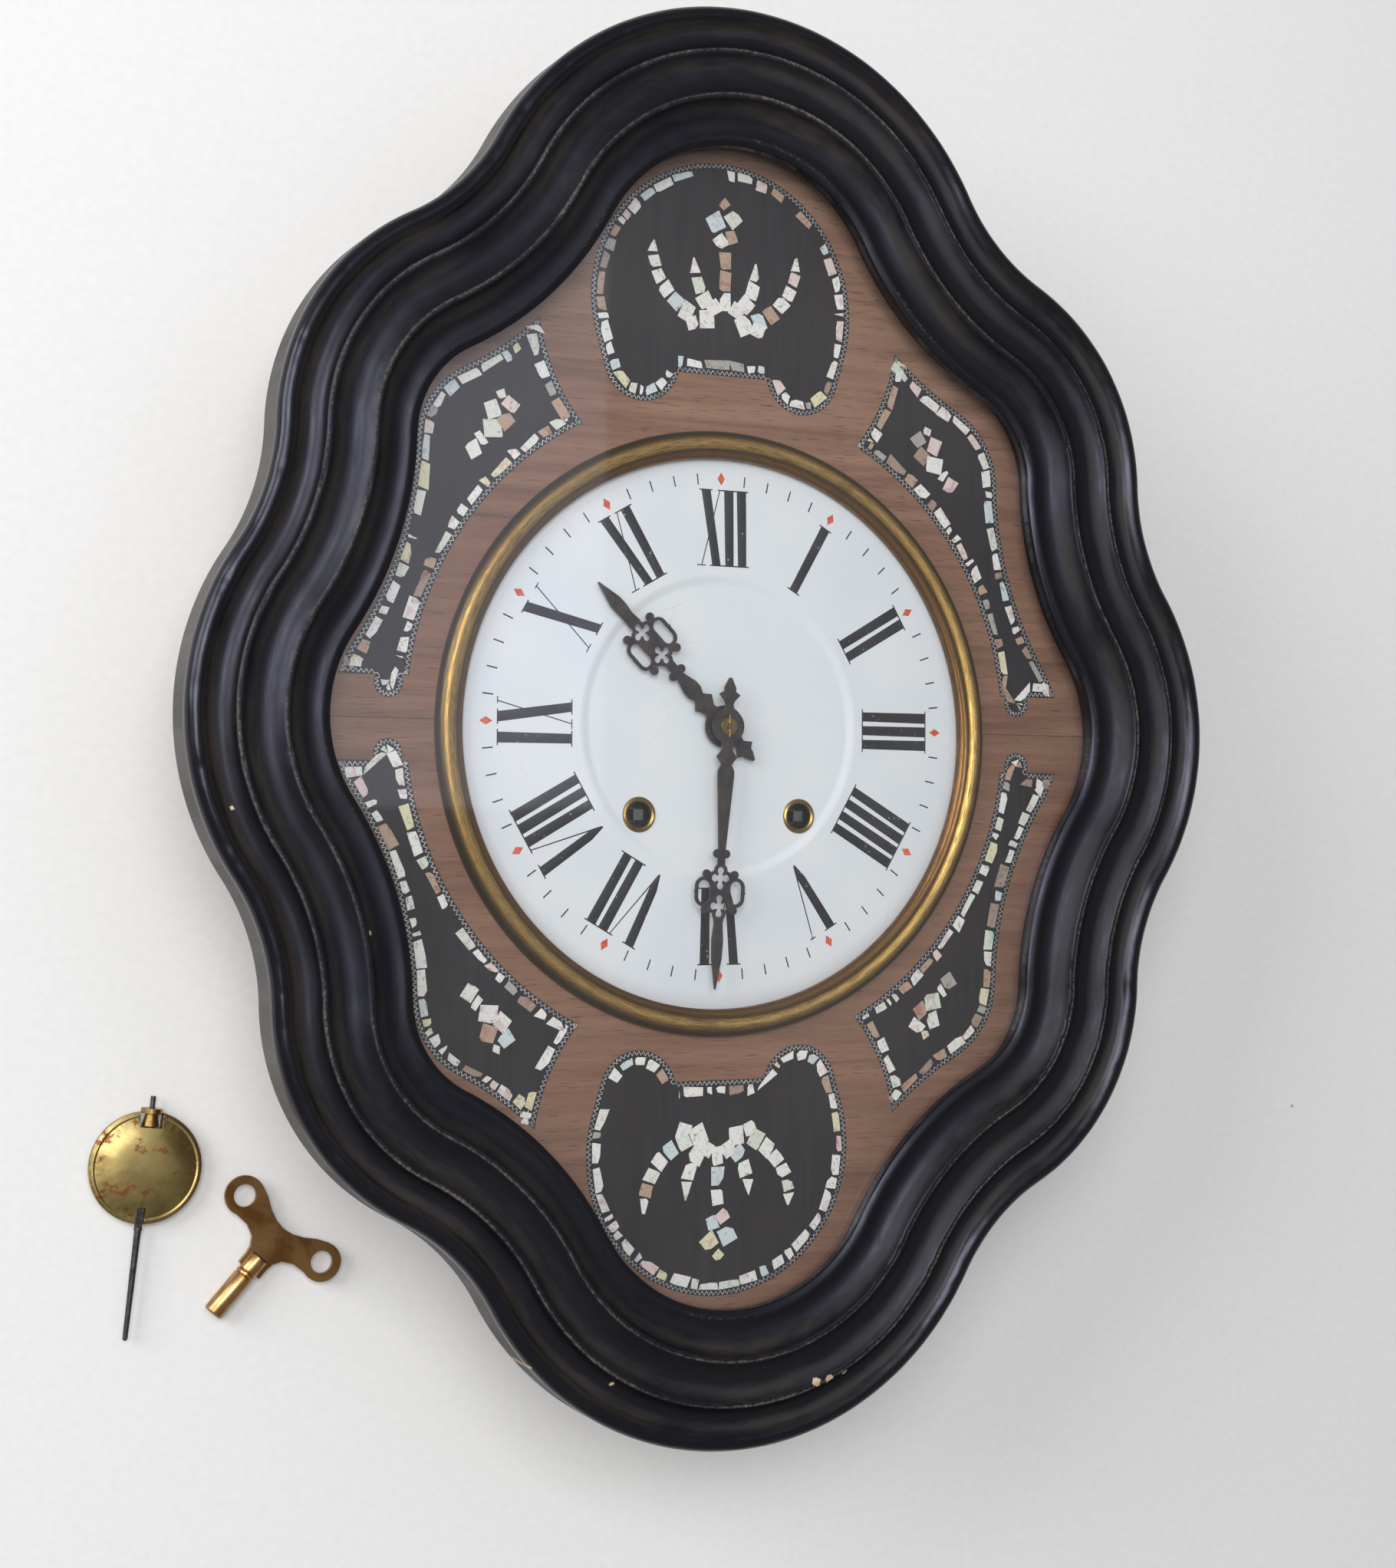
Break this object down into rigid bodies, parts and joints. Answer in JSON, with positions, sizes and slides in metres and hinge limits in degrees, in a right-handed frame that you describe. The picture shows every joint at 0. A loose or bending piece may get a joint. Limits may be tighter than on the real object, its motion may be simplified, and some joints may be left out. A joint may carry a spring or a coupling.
{
  "type": "regulator clock",
  "caption": "Striking wall clock with a wavy moulded black front that opens, inlaid plaques round a white dial, a complete two-train movement, and its pendulum and key taken off.",
  "frame": {"origin": "on the axis of the hands, at the back face of the case", "axes": "+Z out of the dial, +Y towards XII, +X towards III; the clock lies on its back"},
  "size_m": [0.4945, 0.6198, 0.1235],
  "materials": {
    "pine": "matte",
    "veneer": "satin",
    "black_wood": "gloss",
    "plaque": "satin",
    "nacre": "gloss",
    "tin": "satin",
    "enamel": "gloss",
    "brass": "satin",
    "old_brass": "tarnished",
    "steel": "satin",
    "dark_steel": "blued",
    "iron": "rough",
    "clear_glass": "gloss"
  },
  "bodies": {
    "case": {"case_boards": "pine", "back_board": "pine", "panel_board": "pine", "walnut_veneer": "veneer", "ebony_plaques": "plaque", "nacre_chips": "nacre", "metal_stringing": "tin", "dial": "enamel", "dial_feet": "old_brass", "winding_eyelets": "brass", "bezel": "brass", "hanging_plate": "iron", "case_screws": "steel", "movement_bars": "iron", "front_plate": "brass", "back_plate": "brass", "pillars": "brass", "suspension_cock": "brass", "suspension_spring": "steel", "gong": "dark_steel", "gong_post": "iron", "fixed_hinge_leaves": "old_brass"},
    "door": {"door_frame": "black_wood", "door_glass": "clear_glass", "glass_wedges": "pine", "door_hinge_leaves": "old_brass", "catch_pin": "old_brass"},
    "hook": {"door_hook": "old_brass"},
    "rear_hatch": {"rear_door": "pine", "rear_hinge_leaf": "old_brass"},
    "button": {"turn_button": "old_brass"},
    "minute_work": {"centre_arbor": "steel", "centre_wheel": "brass", "cannon_pinion": "steel", "minute_hand": "dark_steel", "hand_washer": "brass"},
    "hour_work": {"hour_wheel": "brass", "hour_hand": "dark_steel"},
    "motion_work": {"minute_wheel": "brass"},
    "intermediate": {"intermediate_wheel": "brass"},
    "third": {"third_wheel": "brass"},
    "escape": {"escape_wheel": "brass"},
    "pallets": {"anchor": "steel"},
    "going_drum": {"going_barrel": "brass", "going_spring": "dark_steel"},
    "going_square_arbor": {"going_winder": "steel"},
    "going_pawl": {"going_click": "steel"},
    "strike_drum": {"strike_barrel": "brass", "strike_spring": "dark_steel"},
    "strike_square_arbor": {"strike_winder": "steel"},
    "strike_pawl": {"strike_click": "steel"},
    "pins": {"pin_wheel": "brass"},
    "locking": {"locking_wheel": "brass"},
    "fan": {"fly": "steel"},
    "striker": {"hammer": "steel"},
    "pendulum": {"pendulum_rod": "dark_steel"},
    "bob": {"pendulum_bob": "old_brass"},
    "nut": {"rating_nut": "old_brass"},
    "key": {"key_wing": "old_brass", "key_pipe": "old_brass"}
  },
  "joints": [
    {"name": "front_door", "type": "hinge", "parent": "case", "child": "door", "pos_m": [-0.228, 0, 0.09715], "axis": [0, -1, 0], "range_deg": [0, 100]},
    {"name": "door_catch", "type": "hinge", "parent": "case", "child": "hook", "pos_m": [0.205, 0, 0.0868], "axis": [0, 0, 1], "range_deg": [0, 80]},
    {"name": "rear_opening", "type": "hinge", "parent": "case", "child": "rear_hatch", "pos_m": [-0.04, -0.066, 0.0016], "axis": [0, 1, 0], "range_deg": [0, 110]},
    {"name": "rear_button", "type": "hinge", "parent": "case", "child": "button", "pos_m": [0.048, -0.066, 0.0023], "axis": [0, 0, 1], "range_deg": [0, 90]},
    {"name": "minute_turn", "type": "hinge", "parent": "case", "child": "minute_work", "pos_m": [0, 0, 0.06], "axis": [0, 0, 1], "continuous": true},
    {"name": "hour_turn", "type": "hinge", "parent": "case", "child": "hour_work", "pos_m": [0, 0, 0.087], "axis": [0, 0, 1], "continuous": true},
    {"name": "motion_turn", "type": "hinge", "parent": "case", "child": "motion_work", "pos_m": [0, 0.0192, 0.0845], "axis": [0, 0, 1], "continuous": true},
    {"name": "intermediate_turn", "type": "hinge", "parent": "case", "child": "intermediate", "pos_m": [0.02724, -0.00683, 0.072], "axis": [0, 0, 1], "continuous": true},
    {"name": "going_barrel_turn", "type": "hinge", "parent": "case", "child": "going_drum", "pos_m": [0.0388, -0.0388, 0.047], "axis": [0, 0, 1], "continuous": true},
    {"name": "third_turn", "type": "hinge", "parent": "case", "child": "third", "pos_m": [0, 0.0273, 0.047], "axis": [0, 0, 1], "continuous": true},
    {"name": "escape_turn", "type": "hinge", "parent": "case", "child": "escape", "pos_m": [0, 0.0525, 0.0566], "axis": [0, 0, 1], "continuous": true},
    {"name": "anchor_swing", "type": "hinge", "parent": "case", "child": "pallets", "pos_m": [0, 0.0702, 0.0566], "axis": [0, 0, 1], "range_deg": [-3, 3]},
    {"name": "going_winding", "type": "hinge", "parent": "case", "child": "going_square_arbor", "pos_m": [0.0388, -0.0388, 0.084], "axis": [0, 0, 1], "continuous": true},
    {"name": "going_click_lift", "type": "hinge", "parent": "case", "child": "going_pawl", "pos_m": [0.0388, -0.0202, 0.084], "axis": [0, 0, 1], "range_deg": [0, 6], "stiffness_Nm_per_rad": 0.02},
    {"name": "strike_barrel_turn", "type": "hinge", "parent": "case", "child": "strike_drum", "pos_m": [-0.0388, -0.0388, 0.047], "axis": [0, 0, 1], "continuous": true},
    {"name": "strike_winding", "type": "hinge", "parent": "case", "child": "strike_square_arbor", "pos_m": [-0.0388, -0.0388, 0.084], "axis": [0, 0, 1], "continuous": true},
    {"name": "strike_click_lift", "type": "hinge", "parent": "case", "child": "strike_pawl", "pos_m": [-0.0388, -0.0202, 0.084], "axis": [0, 0, 1], "range_deg": [0, 6], "stiffness_Nm_per_rad": 0.02},
    {"name": "pin_wheel_turn", "type": "hinge", "parent": "case", "child": "pins", "pos_m": [-0.044, -0.0052, 0.071], "axis": [0, 0, 1], "continuous": true},
    {"name": "locking_turn", "type": "hinge", "parent": "case", "child": "locking", "pos_m": [-0.03598, 0.01721, 0.0537], "axis": [0, 0, 1], "continuous": true},
    {"name": "fly_turn", "type": "hinge", "parent": "case", "child": "fan", "pos_m": [-0.02998, 0.03513, 0.06], "axis": [0, 0, 1], "continuous": true},
    {"name": "hammer_lift", "type": "hinge", "parent": "case", "child": "striker", "pos_m": [-0.064, 0.03, 0.022], "axis": [0, 0, 1], "range_deg": [0, 12], "stiffness_Nm_per_rad": 0.05},
    {"name": "pendulum_lift_off", "type": "slide", "parent": "case", "child": "pendulum", "axis": [0, 0, 1], "range_m": [0, 0.1]},
    {"name": "bob_height", "type": "slide", "parent": "pendulum", "child": "bob", "axis": [0.108, 0.9942, 0], "range_m": [-0.00105, 0.0035]},
    {"name": "rating_nut_turn", "type": "hinge", "parent": "bob", "child": "nut", "pos_m": [-0.2294, -0.1914, 0.0045], "axis": [0.108, 0.9942, 0], "range_deg": [-540, 1800]},
    {"name": "key_lift_off", "type": "slide", "parent": "case", "child": "key", "axis": [0, 0, 1], "range_m": [0, 0.15]}
  ],
  "couplings": [
    {"joint": "hour_turn", "follows": "minute_turn", "ratio": 0.083333},
    {"joint": "motion_turn", "follows": "minute_turn", "ratio": -0.33333},
    {"joint": "intermediate_turn", "follows": "minute_turn", "ratio": -0.125},
    {"joint": "going_barrel_turn", "follows": "minute_turn", "ratio": 0.026786},
    {"joint": "third_turn", "follows": "minute_turn", "ratio": -12},
    {"joint": "escape_turn", "follows": "minute_turn", "ratio": 132},
    {"joint": "pin_wheel_turn", "follows": "strike_barrel_turn", "ratio": -4.6667},
    {"joint": "locking_turn", "follows": "strike_barrel_turn", "ratio": 35},
    {"joint": "fly_turn", "follows": "strike_barrel_turn", "ratio": -280},
    {"joint": "rating_nut_turn", "follows": "bob_height", "rad_per_m": 8976}
  ]
}
